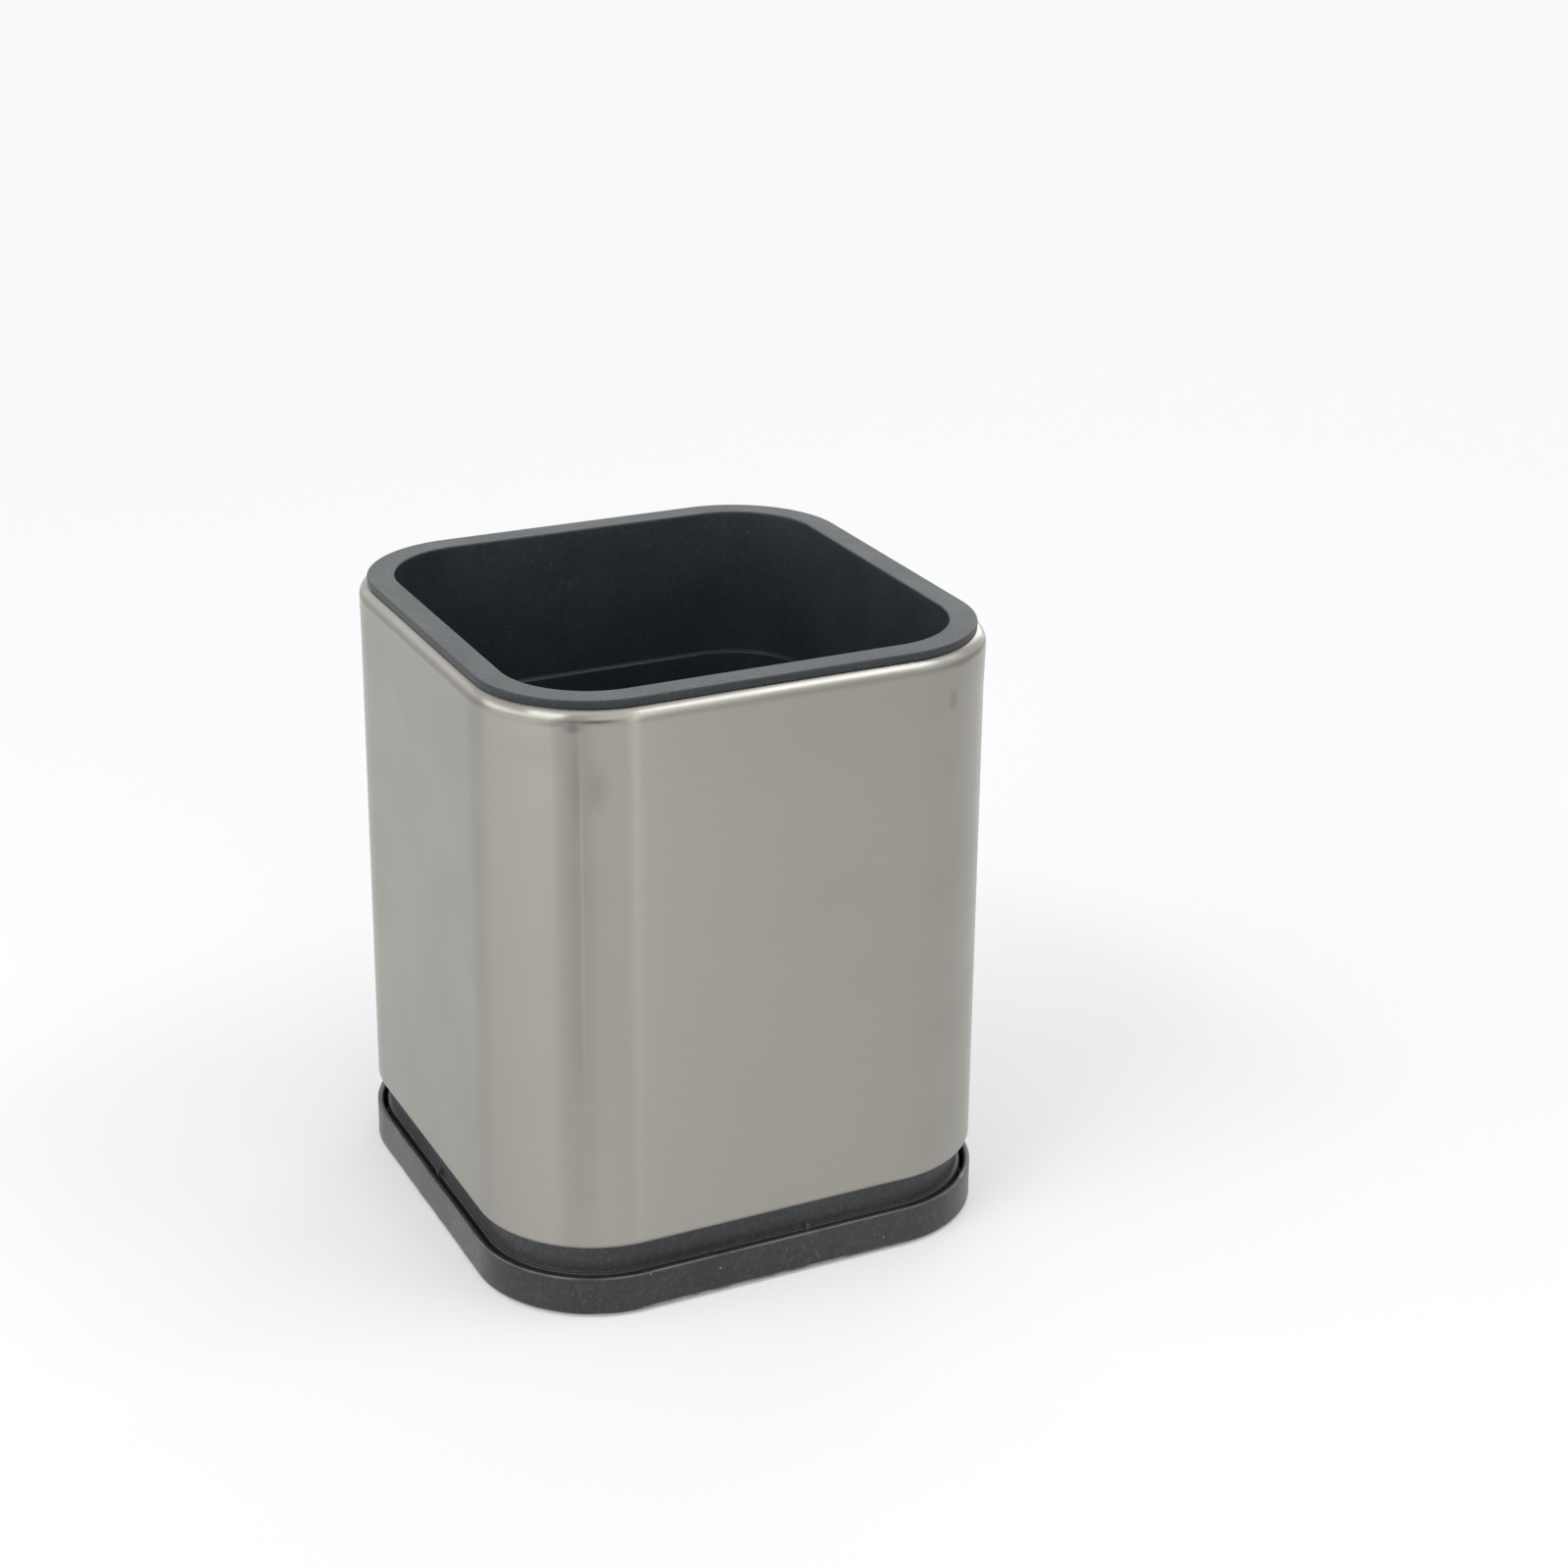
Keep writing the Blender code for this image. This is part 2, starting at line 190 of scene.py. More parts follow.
def addNode(tree, kind, settings=None, **values):
    # an underscore stands for the space in an input's name
    node = tree.nodes.new(kind)
    for key, value in (settings or {}).items():
        setattr(node, key, value)
    for key, value in values.items():
        setInput(tree, node.inputs[key.replace("_", " ")], value)
    return node


def mathNode(tree, operation, *values, clamp=False):
    node = addNode(tree, "ShaderNodeMath", {"operation": operation, "use_clamp": clamp})
    for socket, value in zip(node.inputs, values):
        setInput(tree, socket, value)
    return node.outputs[0]


def vectorNode(tree, operation, *values):
    node = addNode(tree, "ShaderNodeVectorMath", {"operation": operation})
    for socket, value in zip(node.inputs, values):
        setInput(tree, socket, value)
    return node.outputs


def rampNode(tree, value, start, end, low=0.0, high=1.0):
    # a smooth step from low to high as the value goes from start to end
    return addNode(tree, "ShaderNodeMapRange", {"interpolation_type": "SMOOTHSTEP"}, Value=value,
                   From_Min=start, From_Max=end, To_Min=low, To_Max=high).outputs["Result"]


def noiseNode(tree, vector, scale, detail=2.0, roughness=0.5):
    return addNode(tree, "ShaderNodeTexNoise", Vector=vector, Scale=scale, Detail=detail,
                   Roughness=roughness).outputs["Fac"]


def stretchedNoise(tree, vector, scale, detail=2.0, roughness=0.5, turn=(0, 0, 0)):
    # noise whose features are scale times per metre along each axis
    mapping = addNode(tree, "ShaderNodeMapping", Vector=vector, Rotation=turn, Scale=scale)
    return noiseNode(tree, mapping.outputs[0], 1.0, detail, roughness)


def mixColour(tree, factor, first, second):
    node = addNode(tree, "ShaderNodeMix", {"data_type": "RGBA"})
    for socket, value in ((node.inputs["Factor"], factor), (node.inputs[6], first), (node.inputs[7], second)):
        setInput(tree, socket, value)
    return node.outputs[2]


def spotMask(tree, coords, centre, reach, inner=0.0):
    # 1 at the centre of an ellipsoid, or out to the share inner of its reach, fading to 0 at its reach
    offset = vectorNode(tree, "SUBTRACT", coords, centre)[0]
    scaled = vectorNode(tree, "DIVIDE", offset, reach)[0]
    return rampNode(tree, vectorNode(tree, "LENGTH", scaled)["Value"], 1.0, inner)


def newMaterial(name):
    material = bpy.data.materials.new(name)
    material.use_nodes = True
    tree = material.node_tree
    shader = tree.nodes["Principled BSDF"]
    coords = tree.nodes.new("ShaderNodeTexCoord").outputs["Object"]
    return material, tree, shader, coords


# Node groups, each used by more than one material

def newGroup(name, inputs, outputs):
    group = bpy.data.node_groups.new(name, "ShaderNodeTree")
    for label, value in inputs.items():
        socket = group.interface.new_socket(label, in_out="INPUT", socket_type="NodeSocketFloat")
        socket.default_value = value
    for label in outputs:
        group.interface.new_socket(label, in_out="OUTPUT", socket_type="NodeSocketFloat")
    source = group.nodes.new("NodeGroupInput").outputs
    result = group.nodes.new("NodeGroupOutput").inputs
    coords = group.nodes.new("ShaderNodeTexCoord").outputs["Object"]
    return group, source, result, coords


def useGroup(tree, group, **values):
    return addNode(tree, "ShaderNodeGroup", {"node_tree": group}, **values).outputs


def edgeWearGroup():
    # a mask along convex edges, broken up so that the wear comes and goes
    group, source, result, coords = newGroup(
        "edgeWear", {"Reach": 0.05, "Patchiness": 0.6, "Patches Per Metre": 120.0}, ["Mask"])
    pointiness = group.nodes.new("ShaderNodeNewGeometry").outputs["Pointiness"]
    nearlyFlat = 0.515
    kept = rampNode(group, noiseNode(group, coords, source["Patches Per Metre"], detail=3.0), 0.36, 0.64)
    edge = mathNode(group, "SUBTRACT", pointiness, nearlyFlat)
    edge = mathNode(group, "DIVIDE", edge, source["Reach"], clamp=True)
    broken = mathNode(group, "MULTIPLY", mathNode(group, "SUBTRACT", 1.0, kept), source["Patchiness"])
    mask = mathNode(group, "MULTIPLY", edge, mathNode(group, "SUBTRACT", 1.0, broken), clamp=True)
    group.links.new(mask, result["Mask"])
    return group


def mouldedGrainGroup():
    # the fine spark-eroded texture of a moulded plastic surface, with the slow cloudiness under it
    group, source, result, coords = newGroup("mouldedGrain", {"Grain Per Metre": 7000.0},
                                             ["Height", "Fleck", "Cloud"])
    # (output, features per metre, detail, roughness)
    layers = [
        ("Height", source["Grain Per Metre"], 2.0, 0.6),
        ("Fleck", 1100.0, 3.0, 0.7),
        ("Cloud", 55.0, 3.0, 0.55),
    ]
    for label, scale, detail, roughness in layers:
        group.links.new(noiseNode(group, coords, scale, detail, roughness), result[label])
    return group


def scuffGroup():
    # short pale rub marks that lie several ways, gathered in patches
    group, source, result, coords = newGroup("scuffs", {"Amount": 0.5}, ["Mask"])
    # (turn, marks per metre along each axis, strength)
    ways = [
        ((0.15, -0.1, 0), (1500, 1500, 420), 1.0),
        ((0.8, 0.55, 0.3), (1700, 1700, 330), 0.8),
        ((-0.9, 0.7, 0.5), (1900, 1900, 380), 0.8),
        ((1.5, 0.2, 0.8), (1600, 1600, 420), 0.6),
    ]
    marks = 0.0
    for turn, scale, strength in ways:
        noise = stretchedNoise(group, coords, scale, detail=1.0, turn=turn)
        marks = mathNode(group, "MAXIMUM", marks, rampNode(group, noise, 0.63, 0.80, 0.0, strength))
    patches = rampNode(group, noiseNode(group, coords, 75.0), 0.46, 0.66, 0.10, 1.0)
    mask = mathNode(group, "MULTIPLY", marks, patches)
    mask = mathNode(group, "MULTIPLY", mask, source["Amount"], clamp=True)
    group.links.new(mask, result["Mask"])
    return group


def dustSpeckGroup():
    # small pale specks, about one to the square centimetre
    group, source, result, coords = newGroup("dustSpecks", {"Specks Per Metre": 500.0, "Share": 0.15}, ["Mask"])
    cells = addNode(group, "ShaderNodeTexVoronoi", Vector=coords, Scale=source["Specks Per Metre"]).outputs
    near = rampNode(group, cells["Distance"], 0.16, 0.06)
    pick = addNode(group, "ShaderNodeSeparateColor", Color=cells["Color"]).outputs[0]
    kept = mathNode(group, "LESS_THAN", pick, source["Share"])
    group.links.new(mathNode(group, "MULTIPLY", near, kept), result["Mask"])
    return group


edgeWear = edgeWearGroup()
mouldedGrain = mouldedGrainGroup()
scuffs = scuffGroup()
dustSpecks = dustSpeckGroup()
print("node groups ready")


# Steel sleeve

sleeveSet = {
    "sheet": 0.6 * mm,
    "topRoll": 2.5 * mm,
    "topFlange": 2.0 * mm,
    "bottomTurn": 1.2 * mm,
    "bottomFlange": 2.7 * mm,
    "sheetEdge": 0.12 * mm,
    "arcSegments": 14,
    "cornerSteps": 40,
    # rolling the top over pushed the middle of each corner out: (from, to, push)
    "cornerSwell": (106.0 * mm, 114.5 * mm, 0.25 * mm),
    # heights in millimetres of the rows that carry the swell
    "swellRows": range(105, 116),
    # painted dark reflection in a band round the foot of the roll, and a painted shade line in that band at
    # each corner: (height, half width, darkening)
    "darkReflectionBand": (115.9 * mm, 1.0 * mm, 0.25),
    "creaseShade": (116.1 * mm, 0.5 * mm, 0.15),
    # painted shade that darkens the top of the flat sides, and fine upright lines at the corners: (from, to,
    # darkening)
    "paintedTopShade": (94.0 * mm, 113.0 * mm, 0.035),
    "cornerLines": (60 * mm, 112 * mm, 0.035),
    "colour": (0.335, 0.320, 0.290, 1),
    "shadeColour": (0.322, 0.311, 0.280, 1),
    # the colour of edge wear, and of the painted pale lines and painted light
    "rubbedAndLitColour": (0.48, 0.47, 0.44, 1),
    "markAndShadeColour": (0.02, 0.02, 0.018, 1),
    "wearAmount": 0.3,
    "roughness": 0.33,
    "rollRoughness": 0.27,
    "mottleRoughness": 0.02,
    "markRoughness": 0.25,
    # from one height to the next, brushed satin turns into the burnished roll
    "rollStart": (114.2 * mm, 115.4 * mm),
    "anisotropy": 0.9,
    "anisotropyTurn": 0.25,
    # features per metre along each axis
    "brushLines": (30, 30, 4200),
    "longLines": (9, 9, 1900),
    "mottle": (60, 60, 75),
    "drawnLines": (420, 420, 7),
    # what the long lines and the mottle bring to the shade of the colour
    "longLineShare": 0.3,
    "mottleShare": 0.7,
    # in millimetres, on the satin, and the share of it that the roll keeps
    "brushDepth": 0.0022,
    "rollBrushShare": 0.2,
    # name: (centre, reach, darkening), for smudges, spots and the weld line as well as for painted shade and
    # painted dark reflections
    "marks": {
        # painted dark reflections: upright streaks and a patch high on the front left corner
        "darkStreakReflection": ((-37.8 * mm, -47.1 * mm, 105 * mm), (1.3 * mm, 1.3 * mm, 15 * mm), 0.11),
        "darkLineReflection": ((-38.0 * mm, -47.0 * mm, 80 * mm), (1.3 * mm, 1.3 * mm, 66 * mm), 0.045),
        "cornerPatch": ((-34.5 * mm, -48.6 * mm, 103.8 * mm), (2.8 * mm, 2.8 * mm, 6.5 * mm), 0.13),
        # painted shade along the foot of the roll at the corners
        "rollCreaseShade": ((-34.3 * mm, -48.7 * mm, 116.0 * mm), (5.6 * mm, 5.6 * mm, 0.55 * mm), 0.36),
        "pinchShade": ((-38.2 * mm, -46.9 * mm, 114.8 * mm), (2.6 * mm, 2.6 * mm, 1.2 * mm), 0.34),
        "leftCreaseShade": ((-41.5 * mm, -44.6 * mm, 115.4 * mm), (3.6 * mm, 3.6 * mm, 0.8 * mm), 0.20),
        "rightCreaseShade": ((36.5 * mm, -47.9 * mm, 115.4 * mm), (4.5 * mm, 4.5 * mm, 0.8 * mm), 0.12),
        "frontSpot": ((34.8 * mm, -48.5 * mm, 109.2 * mm), (1.9 * mm, 1.7 * mm, 3.4 * mm), 0.20),
        "frontSmudge": ((12.0 * mm, -50 * mm, 76 * mm), (17 * mm, 4 * mm, 8 * mm), 0.025),
        "backSmudge": ((-14 * mm, 50 * mm, 61 * mm), (15 * mm, 4 * mm, 10 * mm), 0.025),
        "rightSmudge": ((50 * mm, 9 * mm, 70 * mm), (4 * mm, 13 * mm, 9 * mm), 0.02),
        "weldLine": ((3 * mm, 50 * mm, 66 * mm), (0.35 * mm, 2 * mm, 120 * mm), 0.10),
        "weldTint": ((3 * mm, 50 * mm, 66 * mm), (3.2 * mm, 2 * mm, 150 * mm), 0.03),
    },
    # painted light: two fine pale lines of painted reflection on the front left corner and one broad pale place
    # of painted light low on it, given the same way
    "paintedLights": {
        "paleLineReflection": ((-37.1 * mm, -47.5 * mm, 84 * mm), (0.5 * mm, 0.5 * mm, 62 * mm), 0.22),
        "sideLineReflection": ((-41.6 * mm, -44.7 * mm, 98 * mm), (0.7 * mm, 0.7 * mm, 34 * mm), 0.10),
        "lowCornerLight": ((-36 * mm, -48 * mm, 12 * mm), (10 * mm, 10 * mm, 56 * mm), 0.16),
    },
    # (centre, reach, height in millimetres)
    "dimple": ((-50 * mm, -8.0 * mm, 24.6 * mm), (0.95 * mm, 0.95 * mm, 0.7 * mm), -0.25),
}


def swellCorners(bm):
    start, end, most = sleeveSet["cornerSwell"]
    for vert in bm.verts:
        out = Vector((abs(vert.co.x) - cornerCentre, abs(vert.co.y) - cornerCentre))
        if vert.co.z < start or out.x <= 0 or out.y <= 0:
            continue
        rise = min((vert.co.z - start) / (end - start), 1)
        across = (2 * out.x * out.y / out.length_squared) ** 2
        push = out.normalized() * most * rise * rise * (3 - 2 * rise) * across
        vert.co.x += math.copysign(push.x, vert.co.x)
        vert.co.y += math.copysign(push.y, vert.co.y)


def makeSleeve(material):
    s = sleeveSet
    low, high = sleeveLow.z, sleeveHigh.z
    topIn, bottomIn = s["topRoll"] + s["topFlange"], s["bottomTurn"] + s["bottomFlange"]
    sheet, edge = s["sheet"], s["sheetEdge"]
    profile = drawProfile([
        (bottomIn, low, edge),
        (0, low, s["bottomTurn"]),
        (0, high, s["topRoll"]),
        (topIn, high, edge),
        (topIn, high - sheet, edge),
        (sheet, high - sheet, s["topRoll"] - sheet),
        (sheet, low + sheet, s["bottomTurn"] - sheet),
        (bottomIn, low + sheet, edge),
    ], closed=True, arcSegments=s["arcSegments"])
    bm = carryRound(profile, cornerSteps=s["cornerSteps"])
    for height in s["swellRows"]:
        bmesh.ops.bisect_plane(bm, geom=bm.verts[:] + bm.edges[:] + bm.faces[:],
                               plane_co=(0, 0, height * mm), plane_no=(0, 0, 1))
    swellCorners(bm)
    finishPiece("steelSleeve", bm, "holder", ["steel_sleeve"], material)


def cornerMask(tree, place):
    # 0 on the flat sides, rising to 1 at the middle of each corner
    past = []
    for axis in (0, 1):
        offset = mathNode(tree, "SUBTRACT", mathNode(tree, "ABSOLUTE", place[axis]), cornerCentre)
        past.append(mathNode(tree, "MAXIMUM", offset, 0.0))
    return mathNode(tree, "DIVIDE", mathNode(tree, "MULTIPLY", *past), 0.5 * cornerRadius ** 2, clamp=True)


def steelDarkening(tree, coords, height, corner):
    # how far drawn lines at the corners, smudges, spots and the weld darken the steel, with painted shade and
    # painted dark reflections about the roll and the corners
    s = sleeveSet
    start, end, amount = s["cornerLines"]
    drawn = rampNode(tree, stretchedNoise(tree, coords, s["drawnLines"], detail=3.0, roughness=0.6), 0.5, 0.66)
    drawn = mathNode(tree, "MULTIPLY", drawn, rampNode(tree, height, start, end))
    dark = mathNode(tree, "MULTIPLY", mathNode(tree, "MULTIPLY", drawn, corner), amount)
    # painted shade on the top of the flat sides, fading out at the corners
    start, end, amount = s["paintedTopShade"]
    topShade = mathNode(tree, "MULTIPLY", rampNode(tree, height, start, end, 0.0, amount),
                       mathNode(tree, "SUBTRACT", 1.0, corner))
    dark = mathNode(tree, "ADD", dark, topShade)
    # the band all round is a painted dark reflection, the line at the corners painted shade
    for (level, reach, amount), where in ((s["darkReflectionBand"], 1.0), (s["creaseShade"], corner)):
        off = mathNode(tree, "ABSOLUTE", mathNode(tree, "SUBTRACT", height, level))
        band = mathNode(tree, "MULTIPLY", rampNode(tree, off, reach, 0.0, 0.0, amount), where)
        dark = mathNode(tree, "ADD", dark, band)
    for centre, reach, amount in s["marks"].values():
        mark = mathNode(tree, "MULTIPLY", spotMask(tree, coords, centre, reach), amount)
        dark = mathNode(tree, "ADD", dark, mark)
    return dark


def brushedSteel():
    s = sleeveSet
    material, tree, shader, coords = newMaterial("brushedSteel")
    lines = stretchedNoise(tree, coords, s["brushLines"], detail=4.0, roughness=0.7)
    longLines = stretchedNoise(tree, coords, s["longLines"])
    mottle = stretchedNoise(tree, coords, s["mottle"], detail=3.0)
    shade = mathNode(tree, "ADD", mathNode(tree, "MULTIPLY", longLines, s["longLineShare"]),
                     mathNode(tree, "MULTIPLY", mottle, s["mottleShare"]))
    colour = mixColour(tree, rampNode(tree, shade, 0.32, 0.68), s["shadeColour"], s["colour"])

    place = addNode(tree, "ShaderNodeSeparateXYZ", Vector=coords).outputs
    dark = steelDarkening(tree, coords, place[2], cornerMask(tree, place))
    # marks, painted shade and painted dark reflections all go toward one dark colour
    colour = mixColour(tree, dark, colour, s["markAndShadeColour"])
    wear = useGroup(tree, edgeWear, Reach=0.06, Patchiness=0.6, Patches_Per_Metre=160.0)["Mask"]
    wornAndLit = mathNode(tree, "MULTIPLY", wear, s["wearAmount"])
    # painted pale reflections and painted light, mixed in with the real edge wear
    for centre, reach, amount in s["paintedLights"].values():
        line = mathNode(tree, "MULTIPLY", spotMask(tree, coords, centre, reach), amount)
        wornAndLit = mathNode(tree, "ADD", wornAndLit, line)
    colour = mixColour(tree, wornAndLit, colour, s["rubbedAndLitColour"])
    tree.links.new(colour, shader.inputs["Base Color"])

    # the roll is burnished by its tool, the rest keeps the brushed satin
    start, end = s["rollStart"]
    uneven = rampNode(tree, mottle, 0.3, 0.7, s["mottleRoughness"], -s["mottleRoughness"])
    roughness = rampNode(tree, place[2], start, end, s["roughness"], s["rollRoughness"])
    roughness = mathNode(tree, "ADD", roughness, uneven)
    roughness = mathNode(tree, "ADD", roughness, mathNode(tree, "MULTIPLY", dark, s["markRoughness"]))
    tree.links.new(roughness, shader.inputs["Roughness"])
    shader.inputs["Metallic"].default_value = 1.0
    shader.inputs["Anisotropic"].default_value = s["anisotropy"]
    shader.inputs["Anisotropic Rotation"].default_value = s["anisotropyTurn"]
    tangent = addNode(tree, "ShaderNodeTangent", {"direction_type": "RADIAL", "axis": "Z"})
    tree.links.new(tangent.outputs[0], shader.inputs["Tangent"])

    # heights in millimetres
    centre, reach, depth = s["dimple"]
    dimple = mathNode(tree, "MULTIPLY", spotMask(tree, coords, centre, reach), depth)
    depth = rampNode(tree, place[2], start, end, s["brushDepth"], s["rollBrushShare"] * s["brushDepth"])
    height = mathNode(tree, "ADD", mathNode(tree, "MULTIPLY", lines, depth), dimple)
    bump = addNode(tree, "ShaderNodeBump", Height=height, Strength=1.0, Distance=mm)
    tree.links.new(bump.outputs[0], shader.inputs["Normal"])
    return material


makeSleeve(brushedSteel())


# Moulded plastic, for the liner, the collar and the tray, each with the values of its own piece

plasticSet = {
    "wearReach": 0.06,
    "wearPatchiness": 0.75,
    "wearPatches": 190.0,
    # how much of the cloud colour the slow clouds and the flecks bring
    "cloudShare": 0.35,
    "fleckShare": 0.8,
    "speckStrength": 0.7,
    # what clouds, rub marks and flecks do to the roughness
    "cloudSmoother": 0.03,
    "cloudRougher": 0.04,
    "rubbedRougher": 0.12,
    "fleckSmoother": 0.05,
    # a place of rub wear and painted light is at full strength out to this share of its reach
    "rubbedCore": 0.3,
    "grainStrength": 0.25,
    "grainDepth": 0.012 * mm,
}


def mouldedPlastic(name, s, rubbedAndLitPlaces=()):
    p = plasticSet
    material, tree, shader, coords = newMaterial(name)
    moulded = useGroup(tree, mouldedGrain, Grain_Per_Metre=s["grainPerMetre"])
    wear = useGroup(tree, edgeWear, Reach=p["wearReach"], Patchiness=p["wearPatchiness"],
                    Patches_Per_Metre=p["wearPatches"])["Mask"]
    wornAndLit = useGroup(tree, scuffs, Amount=s["scuffAmount"])["Mask"]
    specks = useGroup(tree, dustSpecks, Share=s["speckShare"])["Mask"]
    # pale rub wear that is also painted light on the collar's ribs
    for centre, reach, amount in rubbedAndLitPlaces:
        spot = spotMask(tree, coords, centre, reach, inner=p["rubbedCore"])
        wornAndLit = mathNode(tree, "MAXIMUM", wornAndLit, mathNode(tree, "MULTIPLY", spot, amount))

    fleck = rampNode(tree, moulded["Fleck"], 0.46, 0.72)
    cloud = mathNode(tree, "ADD", rampNode(tree, moulded["Cloud"], 0.3, 0.7, 0.0, p["cloudShare"]),
                     mathNode(tree, "MULTIPLY", fleck, p["fleckShare"]), clamp=True)
    colour = mixColour(tree, cloud, s["colour"], s["cloudColour"])
    # edge wear, rub marks and specks; along the tray's lip edge this is partly a painted highlight
    wornAndLitMask = mathNode(tree, "MAXIMUM", mathNode(tree, "MULTIPLY", wear, s["wearAmount"]), wornAndLit)
    wornAndLitMask = mathNode(tree, "MAXIMUM", wornAndLitMask, mathNode(tree, "MULTIPLY", specks, p["speckStrength"]))
    colour = mixColour(tree, wornAndLitMask, colour, s["wornAndLitColour"])
    tree.links.new(colour, shader.inputs["Base Color"])

    roughness = rampNode(tree, moulded["Cloud"], 0.3, 0.7, s["roughness"] - p["cloudSmoother"],
                         s["roughness"] + p["cloudRougher"])
    roughness = mathNode(tree, "ADD", roughness, mathNode(tree, "MULTIPLY", wornAndLit, p["rubbedRougher"]))
    roughness = mathNode(tree, "SUBTRACT", roughness, mathNode(tree, "MULTIPLY", fleck, p["fleckSmoother"]))
    tree.links.new(roughness, shader.inputs["Roughness"])
    shader.inputs["Specular IOR Level"].default_value = s["specular"]
    bump = addNode(tree, "ShaderNodeBump", Height=moulded["Height"], Strength=p["grainStrength"],
                   Distance=p["grainDepth"])
    tree.links.new(bump.outputs[0], shader.inputs["Normal"])
    return material


# Liner

linerSet = {
    "wall": 1.8 * mm,
    "draft": math.radians(1.0),
    "slideFit": 0.35 * mm,
    "rimInset": 1.45 * mm,
    "rimThickness": 1.1 * mm,
    "rimEdge": 0.25 * mm,
    # the rim's outer edge comes down onto the roll, and its underside rises from there
    "rimDrop": 0.06 * mm,
    "rimStepIn": 0.9 * mm,
    "rimStepUp": 0.1 * mm,
    "ledgeBelowRim": 29.7 * mm,
    "ledgeWidth": 0.9 * mm,
    "ledgeEdge": 0.3 * mm,
    "fineEdge": 0.1 * mm,
    "floorFillet": 2.0 * mm,
    "drainDiameter": 5.0 * mm,
    "drainPitch": 15.0 * mm,
    "drainsEachWay": 2,
    "drainEdge": 0.3 * mm,
    "drainRing": 0.5 * mm,
    "drainSteps": 28,
    "colour": (0.0188, 0.0225, 0.0260, 1),
    "cloudColour": (0.0320, 0.0370, 0.0427, 1),
    "wornAndLitColour": (0.080, 0.088, 0.097, 1),
    "roughness": 0.43,
    "specular": 0.3,
    "grainPerMetre": 6500.0,
    "wearAmount": 0.22,
    "scuffAmount": 0.17,
    "speckShare": 0.06,
}


def addDrains(bm, floorTop, floorBottom):
    # each hole has softened edges and a narrow flat ring round it, which keeps the floor's shading flat
    s = linerSet
    radius, edge, pitch = s["drainDiameter"] / 2, s["drainEdge"], s["drainPitch"]
    middle = meshSet["edgeMiddle"] * edge
    ring = radius + edge + s["drainRing"]
    hole = [
        (ring, floorTop),
        (radius + edge, floorTop),
        (radius + middle, floorTop - middle),
        (radius, floorTop - edge),
        (radius, floorBottom + edge),
        (radius + edge, floorBottom),
        (ring, floorBottom),
    ]
    places = range(-s["drainsEachWay"], s["drainsEachWay"] + 1)
    for column in places:
        for row in places:
            spinProfile(bm, hole, (column * pitch, row * pitch), s["drainSteps"])


def makeLiner(material):
    s = linerSet
    wall, fine = s["wall"], s["fineEdge"]
    top, seat = linerHigh.z, linerHigh.z - s["rimThickness"]
    floorBottom = linerLow.z
    floorTop = floorBottom + wall
    opening = sleeveSet["topRoll"] + sleeveSet["topFlange"] + s["slideFit"] + wall
    slope = math.tan(s["draft"])
    aboveLedge = opening + s["ledgeBelowRim"] * slope
    belowLedge = aboveLedge + s["ledgeWidth"]
    ledge = top - s["ledgeBelowRim"]
    floorInset = opening + (top - floorTop) * slope + s["ledgeWidth"]
    flatInset = floorInset + 2 * s["floorFillet"]
    bm = carryRound(drawProfile([
        (flatInset, floorTop, 0),
        (floorInset, floorTop, s["floorFillet"]),
        (belowLedge, ledge, s["ledgeEdge"]),
        (aboveLedge, ledge, fine),
        (opening, top, s["rimEdge"]),
        (s["rimInset"], top, s["rimEdge"]),
        (s["rimInset"], sleeveHigh.z - s["rimDrop"], fine),
        (s["rimInset"] + s["rimStepIn"], sleeveHigh.z + s["rimStepUp"], 0),
        (opening - wall, seat, 0),
        (aboveLedge - wall, ledge - wall + s["ledgeWidth"], 0),
        (belowLedge - wall, ledge - wall, 0),
        (floorInset - wall, floorBottom, s["floorFillet"] + wall),
        (flatInset, floorBottom, 0),
    ]))
    addDrains(bm, floorTop, floorBottom)
    for height, way in ((floorTop, 1), (floorBottom, -1)):
        bmesh.ops.triangle_fill(bm, edges=openLoops(bm, height), use_beauty=True, normal=(0, 0, way))
    bmesh.ops.recalc_face_normals(bm, faces=bm.faces)
    finishPiece("linerCup", bm, "liner", ["liner"], material)


makeLiner(mouldedPlastic("linerPlastic", linerSet))


# Base collar

